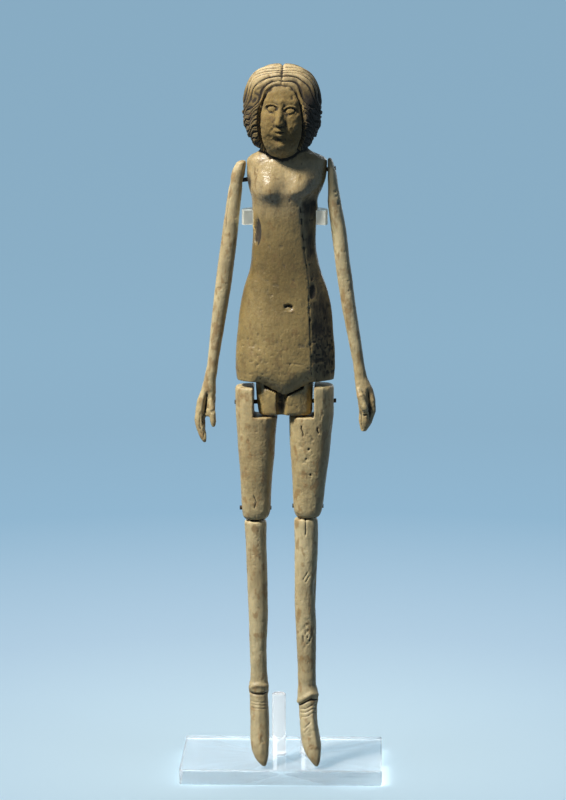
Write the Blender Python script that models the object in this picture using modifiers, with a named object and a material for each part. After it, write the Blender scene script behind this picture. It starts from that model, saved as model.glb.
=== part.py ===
"""Jointed ivory doll, held upright by a clear stand. Metres, +Z up.

The doll faces -Y. The origin is the middle of the stand foot's underside.
Right and left are the doll's own: her right side is at -X.
The carving is written in steps of one two-hundred-and-thirtieth of her height,
measured from her toe tips up, from the stand's middle across, and from her
own middle plane forwards (minus) and backwards (plus).
"""

import math

import bmesh
import bpy
from mathutils import Matrix, Vector

# Driving sizes
FIGURE_HEIGHT = 0.230
STEP = FIGURE_HEIGHT / 230.0
FIT_GAP = 0.0003

# Stand
FOOT_WIDTH = 0.067
FOOT_DEPTH = 0.044
FOOT_THICKNESS = 0.0052
ROD_DIAMETER = 0.0046
ROD_OFFSET_X = 0.0084
POST_DIAMETER = 0.0046
POST_OFFSET_X = -0.0011
POST_HEIGHT = 0.0205
SOCKET_DEPTH = 0.0032
ROD_BEHIND_COLLAR = 0.0012
PAD_WALL = 0.0008
PAD_OVERLAP = 0.2
CRADLE_LEVEL = 181.3
CRADLE_HEIGHT = 0.0046
CRADLE_THICKNESS = 0.0032
COLLAR_HOOK = math.radians(24.0)
COLLAR_BENDS = 22
COLLAR_SQUARENESS = 2.4
EDGE_ROUND = 0.0005
TOE_GAP = 0.0008

# Metal pins, which grow with the figure
PIN_DIAMETER = 1.4 * STEP
PIN_STUB = 0.5 * STEP

# Joints of the legs, which grow with the figure
KNEE_TONGUE_WIDTH = 4.0 * STEP
KNEE_TONGUE_HEIGHT = 5.2 * STEP
KNEE_TONGUE_DEPTH = 4.8 * STEP
KNEE_FRONT_WALL = 1.6 * STEP

# How far a cutter reaches past what it cuts
CUTTER_REACH = FIGURE_HEIGHT / 8.0
BORE_REACH = 4.0 * STEP

# Places that follow from the sizes above
FIGURE_Y = -12.0 * STEP
FIGURE_BASE = FOOT_THICKNESS + TOE_GAP
BORE_DIAMETER = PIN_DIAMETER + 2.0 * FIT_GAP

# Colours as (red, green, blue, alpha)
IVORY_BODY_COLOUR = (0.30, 0.22, 0.12, 1.0)
IVORY_LIMB_COLOUR = (0.40, 0.32, 0.19, 1.0)
IRON_COLOUR = (0.05, 0.045, 0.04, 1.0)
CLEAR_COLOUR = (0.92, 0.95, 0.97, 0.35)

# Trunk: height, middle across, half width, half depth, squareness, facet reach
TRUNK = [
    (128.1, 1.4, 15.8, 8.7, 2.5, 11.7),
    (131.5, 1.4, 16.2, 9.0, 2.5, 11.9),
    (138.3, 1.4, 16.1, 9.0, 2.5, 11.9),
    (144.8, 1.4, 15.5, 8.8, 2.4, 11.5),
    (151.4, 1.5, 14.9, 8.4, 2.4, 10.9),
    (158.0, 1.4, 13.5, 7.8, 2.4, 9.9),
    (164.5, 1.3, 11.4, 7.1, 2.4, 9.0),
    (171.0, 1.0, 10.4, 6.6, 2.4, 8.3),
    (177.6, 1.1, 10.2, 6.5, 2.4, 8.0),
    (184.1, 1.3, 10.6, 6.8, 2.5, 8.1),
    (187.3, 1.2, 10.7, 7.0, 2.5, 8.7),
    (190.5, 1.5, 11.8, 7.1, 2.6, 10.0),
    (194.0, 1.8, 12.7, 7.0, 2.8, 11.4),
    (197.5, 1.9, 12.9, 6.5, 3.0, 12.4),
    (199.4, 1.9, 12.6, 5.8, 2.8, 12.4),
    (200.6, 1.8, 11.2, 5.2, 2.6, 12.4),
    (201.6, 1.6, 8.9, 5.1, 2.4, 12.4),
    (203.2, 1.3, 6.7, 5.3, 2.2, 12.4),
    (206.5, 1.0, 5.9, 5.5, 2.0, 12.4),
    (210.0, 0.8, 5.4, 5.4, 2.0, 12.4),
]
TRUNK_RINGS = 27
TRUNK_POINTS = 34
FACET_TURN = math.radians(-48.0)
MOUND_DROP = 4.6
MOUND_HALF_WIDTH = 8.8

# Breasts: across, height, radius, rise
BREASTS = [(-3.4, 191.0, 4.4, 1.9), (6.4, 191.6, 4.4, 1.9)]

# Hip stubs under the trunk: height, middle across, half width, half depth
STUBS = [
    (134.0, 1.1, 9.3, 6.4),
    (126.2, 1.1, 9.3, 6.4),
    (121.5, 1.2, 9.1, 6.3),
    (117.8, 1.4, 8.8, 6.0),
    (116.9, 1.4, 8.4, 5.6),
]
STUB_POINTS = 24
STUB_SQUARENESS = 3.2

# Cleft between the stubs, navel, and the chip in the right flank: middle and half sizes
STUB_CLEFT = ((0.3, -6.6, 121.5), (1.9, 3.2, 9.0))
NAVEL = ((2.4, -8.5, 152.2), (1.9, 1.3, 0.75))
CHIP = ((-8.7, -4.4, 176.8), (1.6, 1.8, 4.7))

# Head: middle, half sizes, and the face set into the hair
HEAD_MIDDLE = (0.4, -0.4, 215.0)
HEAD_HALF_WIDTH = 12.6
HEAD_HALF_DEPTH = 12.0
HEAD_ABOVE = 15.1
HEAD_BELOW = 14.4
HEAD_TOP_SQUARENESS = 2.5
HEAD_POINTS = 50
HEAD_ROWS = 35
HEAD_SOFTENING = 0.4
FACE_MIDDLE = (0.4, -3.6, 213.4)
FACE_HALF_WIDTH = 8.2
FACE_HALF_DEPTH = 9.2
FACE_HALF_HEIGHT = 13.2
FACE_OPENING_HALF_WIDTH = 7.0
FACE_OPENING_TOP = 225.2
FACE_OPENING_BOTTOM = 200.5
LOCK_SPACING = 7.2
LOCK_DEPTH = 0.6

# Arms: height, middle across, half width, half depth
RIGHT_ARM = [
    (199.6, -12.3, 0.7, 1.3),
    (198.9, -12.8, 1.6, 2.3),
    (196.6, -13.6, 2.1, 2.7),
    (192.5, -14.5, 2.4, 2.8),
    (184.0, -15.6, 2.6, 2.8),
    (171.0, -17.2, 2.9, 2.8),
    (158.0, -18.9, 2.9, 2.8),
    (144.8, -20.7, 2.5, 2.5),
    (131.6, -22.5, 2.0, 2.1),
    (127.8, -23.2, 2.0, 2.0),
    (124.4, -23.7, 2.5, 2.2),
    (121.1, -24.4, 3.1, 2.4),
    (117.6, -24.8, 3.3, 2.4),
    (115.8, -24.9, 2.9, 2.0),
]
LEFT_ARM = [
    (200.4, 15.5, 0.6, 1.2),
    (199.4, 15.7, 1.0, 2.2),
    (196.4, 16.2, 1.5, 2.7),
    (192.5, 16.4, 2.1, 2.8),
    (187.4, 17.0, 2.4, 2.8),
    (177.6, 18.6, 2.7, 2.8),
    (164.6, 20.2, 2.7, 2.8),
    (151.5, 22.1, 2.6, 2.7),
    (138.4, 24.4, 2.3, 2.4),
    (131.8, 25.5, 2.0, 2.1),
    (128.5, 26.1, 2.2, 2.0),
    (125.0, 27.2, 2.9, 2.3),
    (121.5, 27.9, 3.0, 2.6),
    (117.5, 28.2, 2.8, 2.5),
    (114.0, 27.6, 2.2, 2.0),
    (111.0, 27.0, 0.9, 1.0),
]
ARM_POINTS = 12
SHOULDER_STATION = 12
SHOULDER_FLAT_LOW = 187.0

# Fingers: height, middle across, half width, half depth, middle forwards
RIGHT_FINGERS = [
    (118.5, -26.3, 1.7, 1.7, 0.0),
    (114.5, -26.6, 1.9, 1.7, -0.5),
    (111.5, -26.1, 1.6, 1.4, -1.0),
    (108.8, -25.4, 1.2, 1.1, -1.4),
    (107.3, -24.9, 0.5, 0.5, -1.7),
]
RIGHT_THUMB = [
    (121.5, -22.9, 1.1, 1.2, -1.2),
    (117.5, -22.3, 1.1, 1.1, -1.8),
    (114.2, -22.1, 1.1, 1.0, -2.0),
    (112.4, -22.0, 0.6, 0.6, -2.0),
]
LEFT_THUMB = [
    (125.4, 25.2, 0.7, 0.8, -1.6),
    (123.0, 26.0, 1.2, 1.3, -2.3),
    (119.6, 27.5, 1.3, 1.4, -2.7),
    (116.6, 28.6, 1.0, 1.0, -2.4),
]
FINGER_POINTS = 8

# Thighs: height, middle across, half width, half depth
RIGHT_THIGH = [
    (126.0, -7.9, 6.8, 6.4),
    (125.2, -7.9, 7.1, 6.7),
    (116.5, -7.9, 6.9, 6.6),
    (109.8, -8.05, 6.4, 6.3),
    (103.2, -8.05, 6.0, 6.0),
    (96.5, -8.1, 5.4, 5.5),
    (89.9, -8.2, 5.0, 5.0),
    (84.5, -8.1, 4.7, 4.6),
    (82.6, -8.3, 4.2, 4.1),
    (81.7, -8.4, 3.3, 3.2),
]
LEFT_THIGH = [
    (126.4, 9.9, 7.1, 6.4),
    (125.6, 9.9, 7.4, 6.7),
    (116.6, 9.9, 7.3, 6.6),
    (109.9, 9.6, 7.0, 6.3),
    (103.3, 9.5, 6.5, 6.0),
    (96.6, 9.3, 5.8, 5.5),
    (90.0, 9.0, 5.3, 5.0),
    (84.6, 8.8, 4.6, 4.6),
    (83.1, 8.8, 4.0, 4.1),
    (82.4, 8.8, 3.2, 3.2),
]
THIGH_POINTS = 18
RIGHT_TAB_INNER = -8.9
LEFT_TAB_INNER = 10.9
NOTCH_FLOOR = 116.2

# Shins and boots: height, middle across, half width, half depth, middle forwards
RIGHT_SHIN = [
    (81.2, -8.4, 3.6, 3.8, 0.0),
    (79.6, -8.4, 3.8, 4.0, 0.0),
    (74.5, -8.25, 3.6, 3.9, 0.0),
    (65.8, -7.95, 3.6, 3.8, 0.0),
    (57.7, -7.75, 3.5, 3.7, 0.0),
    (49.6, -7.5, 3.4, 3.6, 0.0),
    (37.4, -7.6, 3.0, 3.3, 0.0),
    (27.6, -7.3, 2.9, 3.2, 0.0),
    (26.2, -7.4, 3.25, 3.6, -0.1),
    (23.6, -7.4, 3.3, 3.7, -0.2),
    (22.4, -7.4, 3.0, 3.5, -0.3),
    (18.0, -7.2, 3.2, 4.2, -0.9),
    (13.2, -7.0, 3.2, 4.2, -2.2),
    (8.2, -6.9, 3.3, 3.4, -4.6),
    (4.4, -6.6, 2.9, 2.5, -6.4),
    (1.8, -6.0, 1.9, 1.6, -7.4),
    (0.0, -5.3, 0.5, 0.5, -8.0),
]
LEFT_SHIN = [
    (82.0, 8.2, 3.8, 3.8, 0.0),
    (80.4, 8.2, 4.0, 4.0, 0.0),
    (74.6, 8.35, 4.1, 3.9, 0.0),
    (65.9, 8.15, 3.9, 3.8, 0.0),
    (53.7, 7.9, 3.6, 3.6, 0.0),
    (45.6, 8.2, 3.6, 3.5, 0.0),
    (37.5, 8.4, 3.4, 3.3, 0.0),
    (26.0, 8.6, 3.0, 3.2, 0.0),
    (24.2, 8.8, 3.4, 3.6, -0.1),
    (20.6, 8.9, 3.6, 3.7, -0.3),
    (19.2, 8.9, 3.1, 3.5, -0.5),
    (15.6, 9.0, 3.0, 4.0, -1.3),
    (11.0, 9.5, 3.15, 4.0, -3.0),
    (6.4, 10.3, 3.3, 3.2, -5.2),
    (3.4, 10.9, 2.5, 2.3, -6.9),
    (1.4, 11.6, 1.4, 1.4, -7.6),
    (0.0, 12.0, 0.4, 0.4, -8.0),
]
SHIN_POINTS = 14

# Pins: across and height of each end, and forwards
SHOULDER_PIN = ((-15.6, 192.7), (17.7, 197.0))
SHOULDER_PIN_Y = 0.6
HIP_PIN = ((-15.2, 120.4), (18.0, 121.0))
HIP_PIN_Y = 0.6
KNEE_PIN_Y = 0.9


def place(across, forwards, height):
    """A point of the carving, in metres."""
    return Vector((across * STEP, FIGURE_Y + forwards * STEP, FIGURE_BASE + height * STEP))


def smooth_step(low, high, value):
    share = min(max((value - low) / (high - low), 0.0), 1.0)
    return share * share * (3.0 - 2.0 * share)


def bell(value, width):
    return math.exp(-(value / width) ** 2)


def smooth_station(stations, share):
    """The station at a share of the whole list, on a smooth curve through all of them."""
    last = len(stations) - 1
    place_in_list = share * last
    index = min(int(place_in_list), last - 1)
    part = place_in_list - index
    before = stations[max(index - 1, 0)]
    start = stations[index]
    end = stations[index + 1]
    after = stations[min(index + 2, last)]
    result = []
    for a, b, c, d in zip(before, start, end, after):
        leave = 0.5 * (c - a)
        arrive = 0.5 * (d - b)
        value = (2 * b - 2 * c + leave + arrive) * part ** 3
        value += (3 * c - 3 * b - 2 * leave - arrive) * part ** 2
        result.append(value + leave * part + b)
    return result


def remove_all_objects():
    for item in list(bpy.data.objects):
        bpy.data.objects.remove(item)


def make_collection(name):
    collection = bpy.data.collections.new(name)
    bpy.context.scene.collection.children.link(collection)
    return collection


def make_material(name, colour, roughness, metallic=0.0):
    material = bpy.data.materials.new(name)
    material.use_nodes = True
    shader = material.node_tree.nodes["Principled BSDF"]
    shader.inputs["Base Color"].default_value = colour
    shader.inputs["Roughness"].default_value = roughness
    shader.inputs["Metallic"].default_value = metallic
    shader.inputs["Alpha"].default_value = colour[3]
    return material


def add_object(name, mesh, collection):
    item = bpy.data.objects.new(name, mesh)
    collection.objects.link(item)
    return item


def loft(name, rings, collection, softening=0.0):
    """A closed skin over rings of equal counts, with a fan over each end."""
    shape = bmesh.new()
    rows = [[shape.verts.new(point) for point in ring] for ring in rings]
    for upper, lower in zip(rows, rows[1:]):
        for index, corner in enumerate(upper):
            following = (index + 1) % len(upper)
            shape.faces.new((corner, upper[following], lower[following], lower[index]))
    for row in (rows[0], rows[-1]):
        middle = shape.verts.new(sum((vertex.co for vertex in row), Vector()) / len(row))
        for index, corner in enumerate(row):
            shape.faces.new((corner, row[(index + 1) % len(row)], middle))
    if softening:
        bmesh.ops.smooth_vert(
            shape, verts=shape.verts, factor=softening, use_axis_x=True, use_axis_y=True, use_axis_z=True
        )
    bmesh.ops.recalc_face_normals(shape, faces=shape.faces)
    bmesh.ops.triangulate(shape, faces=shape.faces)
    mesh = bpy.data.meshes.new(name)
    shape.to_mesh(mesh)
    shape.free()
    return add_object(name, mesh, collection)


def oval_ring(station, count, squareness=2.2):
    """One level ring of a limb: height, across, half width, half depth, forwards."""
    height, across, half_width, half_depth = station[:4]
    forwards = station[4] if len(station) > 4 else 0.0
    ring = []
    for index in range(count):
        turn = 2.0 * math.pi * index / count
        side = math.cos(turn)
        front = math.sin(turn)
        reach = (abs(side) ** squareness + abs(front) ** squareness) ** (-1.0 / squareness)
        ring.append(place(across + half_width * side * reach, forwards + half_depth * front * reach, height))
    return ring


def limb(name, stations, count, collection, squareness=2.2):
    return loft(name, [oval_ring(station, count, squareness) for station in stations], collection)


def settle(item):
    """Makes what an object's modifiers give its own mesh."""
    depsgraph = bpy.context.evaluated_depsgraph_get()
    mesh = bpy.data.meshes.new_from_object(item.evaluated_get(depsgraph))
    item.modifiers.clear()
    item.data = mesh


def apply_boolean(item, cutter, operation):
    """Joins or cuts one object by another, and removes the other."""
    modifier = item.modifiers.new(operation.title(), "BOOLEAN")
    modifier.operation = operation
    modifier.solver = "EXACT"
    modifier.object = cutter
    settle(item)
    bpy.data.objects.remove(cutter)


def join(item, *others):
    for other in others:
        apply_boolean(item, other, "UNION")


def cut(item, *cutters):
    for cutter in cutters:
        cutter.hide_render = True
        cutter.display_type = "WIRE"
        apply_boolean(item, cutter, "DIFFERENCE")


def box(name, low, high, collection):
    """A box between two corners in metres."""
    shape = bmesh.new()
    size = [b - a for a, b in zip(low, high)]
    middle = [(a + b) / 2.0 for a, b in zip(low, high)]
    matrix = Matrix.Translation(middle) @ Matrix.Diagonal((*size, 1.0))
    bmesh.ops.create_cube(shape, size=1.0, matrix=matrix)
    mesh = bpy.data.meshes.new(name)
    shape.to_mesh(mesh)
    shape.free()
    return add_object(name, mesh, collection)


def hollow(name, middle, half_sizes, collection):
    """An egg-shaped cutter with its middle and half sizes in steps."""
    shape = bmesh.new()
    matrix = Matrix.Translation(place(*middle)) @ Matrix.Diagonal((*(size * STEP for size in half_sizes), 1.0))
    bmesh.ops.create_uvsphere(shape, u_segments=12, v_segments=9, radius=1.0, matrix=matrix)
    bmesh.ops.triangulate(shape, faces=shape.faces)
    mesh = bpy.data.meshes.new(name)
    shape.to_mesh(mesh)
    shape.free()
    return add_object(name, mesh, collection)


def cylinder(name, start, end, diameter, collection, segments=12):
    """A round bar between two points in metres."""
    along = end - start
    shape = bmesh.new()
    matrix = Matrix.Translation((start + end) / 2.0) @ along.to_track_quat("Z", "Y").to_matrix().to_4x4()
    bmesh.ops.create_cone(
        shape, cap_ends=True, segments=segments, radius1=diameter / 2.0, radius2=diameter / 2.0,
        depth=along.length, matrix=matrix,
    )
    mesh = bpy.data.meshes.new(name)
    shape.to_mesh(mesh)
    shape.free()
    return add_object(name, mesh, collection)


def pin_ends(ends, forwards):
    return [place(across, forwards, height) for across, height in ends]


def bore(ends, forwards, collection):
    """A cutter on a pin's axis, wider by the gap all round and past both ends."""
    start, end = pin_ends(ends, forwards)
    beyond = (end - start).normalized() * BORE_REACH
    return cylinder("bore", start - beyond, end + beyond, BORE_DIAMETER, collection)


def trunk_ring(share):
    height, across, half_width, half_depth, squareness, facet = smooth_station(TRUNK, share)
    ring = []
    for index in range(TRUNK_POINTS):
        turn = 2.0 * math.pi * index / TRUNK_POINTS
        side = math.cos(turn)
        front = math.sin(turn)
        reach = (abs(side) / half_width) ** squareness + (abs(front) / half_depth) ** squareness
        reach = reach ** (-1.0 / squareness)
        towards_facet = side * math.cos(FACET_TURN) + front * math.sin(FACET_TURN)
        if towards_facet > 0.0:
            reach = min(reach, facet / towards_facet)
        x = across + reach * side
        y = reach * front
        z = height
        if front < 0.0:
            for breast_x, breast_z, radius, rise in BREASTS:
                below = radius * (0.6 if height < breast_z else 1.15)
                y -= rise * bell(x - breast_x, radius) * bell(height - breast_z, below)
            if share == 0.0:
                z -= MOUND_DROP * max(0.0, 1.0 - abs(x - across) / MOUND_HALF_WIDTH) ** 0.9
        ring.append(place(x, y, z))
    return ring


def face_reach(direction):
    """How far the face lies from the head's middle along a direction, without its features."""
    start = Vector(HEAD_MIDDLE) - Vector(FACE_MIDDLE)
    sizes = (FACE_HALF_WIDTH, FACE_HALF_DEPTH, FACE_HALF_HEIGHT)
    origin = Vector([value / size for value, size in zip(start, sizes)])
    ray = Vector([value / size for value, size in zip(direction, sizes)])
    a = ray.dot(ray)
    b = 2.0 * origin.dot(ray)
    c = origin.dot(origin) - 1.0
    return (-b + math.sqrt(max(b * b - 4.0 * a * c, 0.0))) / (2.0 * a)


def face_relief(x, z):
    """Rise of the nose, eyes, lips, cheeks and chin above the plain face."""
    across = x - FACE_MIDDLE[0]
    rise = 0.0
    nose = 0.25 + 0.75 * smooth_step(218.4, 212.8, z)
    nose *= smooth_step(221.0, 218.0, z) * smooth_step(211.0, 212.2, z)
    rise += 1.7 * nose * bell(across, 1.5)
    rise += 0.5 * bell(z - 219.6, 1.2) * smooth_step(6.5, 3.0, abs(across))
    for side in (-1.0, 1.0):
        from_eye = across - side * 3.1
        rise -= 1.5 * bell(from_eye, 2.3) * bell(z - 217.0, 1.8)
        rise += 1.2 * bell(from_eye, 1.6) * bell(z - 216.7, 1.1)
        rise += 0.55 * bell(across - side * 4.2, 2.3) * bell(z - 211.0, 3.2)
    rise += 0.9 * bell(across, 2.5) * bell(z - 210.0, 2.0)
    rise -= 1.0 * bell(across, 2.4) * bell(z - 209.8, 0.8)
    rise -= 0.4 * bell(across, 2.4) * bell(z - 207.0, 1.0)
    rise += 0.9 * bell(across, 2.4) * bell(z - 204.6, 1.9)
    return rise


def lock_phase(x, y, z):
    """A value that is even along a lock of hair and grows from lock to lock.

    The locks leave the parting sideways on top, and run out, back and down at the sides.
    """
    out = abs(x - HEAD_MIDDLE[0])
    side = smooth_step(230.0, 218.0, z)
    return 0.8 * out * side + z + 0.8 * y + 0.4 * math.sin(0.6 * out + 0.4 * y)


def face_opening(x, z):
    """1 inside the face's outline and 0 outside it, with a soft edge."""
    middle = (FACE_OPENING_TOP + FACE_OPENING_BOTTOM) / 2.0
    half_height = (FACE_OPENING_TOP - FACE_OPENING_BOTTOM) / 2.0
    across = (x - FACE_MIDDLE[0]) / FACE_OPENING_HALF_WIDTH
    up = (z - middle) / half_height
    peak = 0.16 * bell(x - FACE_MIDDLE[0], 1.6) if z > middle else 0.0
    return smooth_step(1.22, 0.90, math.sqrt(across * across + up * up) - peak)


def head_point(direction):
    """The head's surface along a direction from its middle."""
    squareness = HEAD_TOP_SQUARENESS if direction.z > 0.0 else 2.0
    half_height = HEAD_ABOVE if direction.z > 0.0 else HEAD_BELOW
    level = math.hypot(direction.x / HEAD_HALF_WIDTH, direction.y / HEAD_HALF_DEPTH)
    reach = (level ** squareness + (abs(direction.z) / half_height) ** squareness) ** (-1.0 / squareness)
    surface = Vector(HEAD_MIDDLE) + direction * reach
    x, y, z = surface
    crown = smooth_step(HEAD_MIDDLE[2], HEAD_MIDDLE[2] + 10.0, z)
    reach -= 0.9 * crown * bell(x - HEAD_MIDDLE[0], 0.9) * smooth_step(7.0, 0.0, y)
    lock = lock_phase(x, y, z) * 2.0 * math.pi / LOCK_SPACING
    reach -= LOCK_DEPTH * (1.0 - math.cos(lock)) * smooth_step(203.0, 206.0, z)
    if direction.y < 0.0:
        inside = face_opening(x, z)
        skin = face_reach(direction)
        skin_point = Vector(HEAD_MIDDLE) + direction * skin
        skin += face_relief(skin_point.x, skin_point.z) * -direction.y
        reach = reach * (1.0 - inside) + skin * inside
    return place(*(Vector(HEAD_MIDDLE) + direction * reach))


def head(collection):
    """The head as rows around its middle, set closer together over the face."""
    rings = []
    for row in range(1, HEAD_ROWS):
        tilt = math.pi * row / HEAD_ROWS
        ring = []
        for index in range(HEAD_POINTS):
            turn = 2.0 * math.pi * index / HEAD_POINTS
            turn = turn - 0.45 * math.sin(turn)
            flat = math.sin(tilt)
            direction = Vector((-math.sin(turn) * flat, -math.cos(turn) * flat, math.cos(tilt)))
            ring.append(head_point(direction))
        rings.append(ring)
    return loft("head", rings, collection, HEAD_SOFTENING)


def head_and_torso(collection, cutters):
    rings = [trunk_ring(index / TRUNK_RINGS) for index in range(TRUNK_RINGS + 1)]
    body = loft("head_and_torso", rings, collection)
    stubs = limb("stubs", STUBS, STUB_POINTS, cutters, STUB_SQUARENESS)
    cut(stubs, hollow("cleft", *STUB_CLEFT, cutters))
    join(body, head(cutters), stubs)
    cut(
        body,
        bore(SHOULDER_PIN, SHOULDER_PIN_Y, cutters),
        bore(HIP_PIN, HIP_PIN_Y, cutters),
        hollow("navel", *NAVEL, cutters),
        hollow("chip", *CHIP, cutters),
    )
    return body


def shoulder_side(side):
    """Where the trunk's shoulder ends on one side, in metres."""
    widest = max(TRUNK[SHOULDER_STATION:], key=lambda station: station[2])
    return (widest[1] + side * widest[2]) * STEP


def arm(name, stations, fingers, side, collection, cutters):
    """An arm with its hand, cut flat where it lies along the shoulder."""
    item = limb(name, stations, ARM_POINTS, collection)
    for stations_of_finger in fingers:
        join(item, limb("finger", stations_of_finger, FINGER_POINTS, cutters, squareness=2.0))
    face = shoulder_side(side) + side * FIT_GAP
    inwards = face - side * CUTTER_REACH
    low = (min(face, inwards), FIGURE_Y - CUTTER_REACH, FIGURE_BASE + SHOULDER_FLAT_LOW * STEP)
    high = (max(face, inwards), FIGURE_Y + CUTTER_REACH, FIGURE_BASE + FIGURE_HEIGHT)
    cut(item, box("shoulder_flat", low, high, cutters), bore(SHOULDER_PIN, SHOULDER_PIN_Y, cutters))
    return item


def knee(thigh_stations):
    """Middle across and lower end of a thigh, in metres."""
    lowest = thigh_stations[-1]
    return lowest[1] * STEP, FIGURE_BASE + lowest[0] * STEP


def knee_pin_ends(thigh_stations):
    across, floor = knee(thigh_stations)
    height = floor + KNEE_TONGUE_HEIGHT - PIN_DIAMETER - FIT_GAP
    half = thigh_stations[-3][2] * STEP + PIN_STUB
    y = FIGURE_Y + KNEE_PIN_Y * STEP
    return Vector((across - half, y, height)), Vector((across + half, y, height))


def knee_bore(thigh_stations, collection):
    start, end = knee_pin_ends(thigh_stations)
    beyond = (end - start).normalized() * BORE_REACH / 2.0
    return cylinder("knee_bore", start - beyond, end + beyond, BORE_DIAMETER, collection)


def thigh(name, stations, tab_inner, side, collection, cutters):
    item = limb(name, stations, THIGH_POINTS, collection, squareness=2.4)
    step_low = [tab_inner * STEP, FIGURE_Y - CUTTER_REACH, FIGURE_BASE + NOTCH_FLOOR * STEP]
    step_high = [tab_inner * STEP - side * CUTTER_REACH, FIGURE_Y + CUTTER_REACH, FIGURE_BASE + FIGURE_HEIGHT]
    low = [min(a, b) for a, b in zip(step_low, step_high)]
    high = [max(a, b) for a, b in zip(step_low, step_high)]
    across, floor = knee(stations)
    half_slot = KNEE_TONGUE_WIDTH / 2.0 + FIT_GAP
    slot_front = FIGURE_Y - stations[-3][3] * STEP + KNEE_FRONT_WALL
    slot_low = (across - half_slot, slot_front, floor - CUTTER_REACH)
    slot_high = (across + half_slot, FIGURE_Y + CUTTER_REACH, floor + KNEE_TONGUE_HEIGHT + FIT_GAP)
    cut(
        item,
        box("notch", low, high, cutters),
        box("slot", slot_low, slot_high, cutters),
        bore(HIP_PIN, HIP_PIN_Y, cutters),
        knee_bore(stations, cutters),
    )
    return item


def shin(name, stations, thigh_stations, collection, cutters):
    item = limb(name, stations, SHIN_POINTS, collection)
    across, floor = knee(thigh_stations)
    front = FIGURE_Y - thigh_stations[-3][3] * STEP + KNEE_FRONT_WALL + FIT_GAP
    low = (across - KNEE_TONGUE_WIDTH / 2.0, front, FIGURE_BASE + stations[2][0] * STEP)
    high = (across + KNEE_TONGUE_WIDTH / 2.0, front + KNEE_TONGUE_DEPTH, floor + KNEE_TONGUE_HEIGHT)
    join(item, box("tongue", low, high, cutters))
    cut(item, knee_bore(thigh_stations, cutters))
    return item


def pin(name, start, end, collection):
    """A pin whose ends stand a little proud of what it goes through."""
    return cylinder(name, start, end, PIN_DIAMETER, collection)


def round_edges(item):
    edge = item.modifiers.new("Edge", "BEVEL")
    edge.width = EDGE_ROUND
    edge.segments = 2
    edge.angle_limit = math.radians(40.0)


def waist_at(height):
    """Half width, half depth and middle across of the trunk at a height in steps."""
    shares = [index / 400.0 for index in range(401)]
    best = min(shares, key=lambda share: abs(smooth_station(TRUNK, share)[0] - height))
    station = smooth_station(TRUNK, best)
    return station[2] * STEP, station[3] * STEP, station[1] * STEP


def stand(collection, cutters):
    """Foot with a socket, rod, and the open collar that holds the waist from behind."""
    foot = box(
        "stand_foot",
        (-FOOT_WIDTH / 2.0, -FOOT_DEPTH / 2.0, 0.0),
        (FOOT_WIDTH / 2.0, FOOT_DEPTH / 2.0, FOOT_THICKNESS),
        collection,
    )
    round_edges(foot)
    settle(foot)
    cradle_middle = FIGURE_BASE + CRADLE_LEVEL * STEP
    hips_back = FIGURE_Y + max(station[3] for station in TRUNK) * STEP
    rod_y = hips_back + FIT_GAP + ROD_BEHIND_COLLAR + ROD_DIAMETER / 2.0
    rod_top = cradle_middle - CRADLE_HEIGHT / 2.0 - FIT_GAP
    rod = upright("stand_rod", foot, ROD_OFFSET_X, rod_y, rod_top, ROD_DIAMETER, collection, cutters)
    post_top = FOOT_THICKNESS + POST_HEIGHT
    post = upright("stand_post", foot, POST_OFFSET_X, rod_y, post_top, POST_DIAMETER, collection, cutters)
    round_edges(post)
    cradle = collar("stand_cradle", waist_at(CRADLE_LEVEL), cradle_middle, rod_y, collection, cutters)
    return [foot, rod, post, cradle]


def upright(name, foot, x, y, top, diameter, collection, cutters):
    """A round bar that stands in a socket of its own in the foot."""
    floor = FOOT_THICKNESS - SOCKET_DEPTH
    above = FOOT_THICKNESS + SOCKET_DEPTH
    socket_width = diameter + 2.0 * FIT_GAP
    socket_ends = Vector((x, y, floor)), Vector((x, y, above))
    cut(foot, cylinder("socket", *socket_ends, socket_width, cutters, segments=24))
    rod_ends = Vector((x, y, floor + FIT_GAP)), Vector((x, y, top))
    return cylinder(name, *rod_ends, diameter, collection, segments=24)


def bend(half_x, half_y, turn):
    """A point of the collar's bend, from its middle."""
    side = math.cos(turn)
    back = math.sin(turn)
    reach = (abs(side) ** COLLAR_SQUARENESS + abs(back) ** COLLAR_SQUARENESS) ** (-1.0 / COLLAR_SQUARENESS)
    return half_x * side * reach, half_y * back * reach


def plate(name, outline, middle, thickness, collection, cutters):
    """A flat plate with the given outline, as a mesh."""
    curve = bpy.data.curves.new(name, "CURVE")
    curve.dimensions = "2D"
    curve.fill_mode = "BOTH"
    curve.extrude = thickness / 2.0
    spline = curve.splines.new("POLY")
    spline.points.add(len(outline) - 1)
    for point, (x, y) in zip(spline.points, outline):
        point.co = (x, y, 0.0, 1.0)
    spline.use_cyclic_u = True
    guide = add_object("outline", curve, cutters)
    guide.location = middle
    bpy.context.view_layer.update()
    depsgraph = bpy.context.evaluated_depsgraph_get()
    mesh = bpy.data.meshes.new_from_object(guide.evaluated_get(depsgraph))
    shape = bmesh.new()
    shape.from_mesh(mesh)
    bmesh.ops.remove_doubles(shape, verts=shape.verts, dist=0.00001)
    shape.to_mesh(mesh)
    shape.free()
    item = add_object(name, mesh, collection)
    item.matrix_world = guide.matrix_world.copy()
    bpy.data.objects.remove(guide)
    return item


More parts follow.
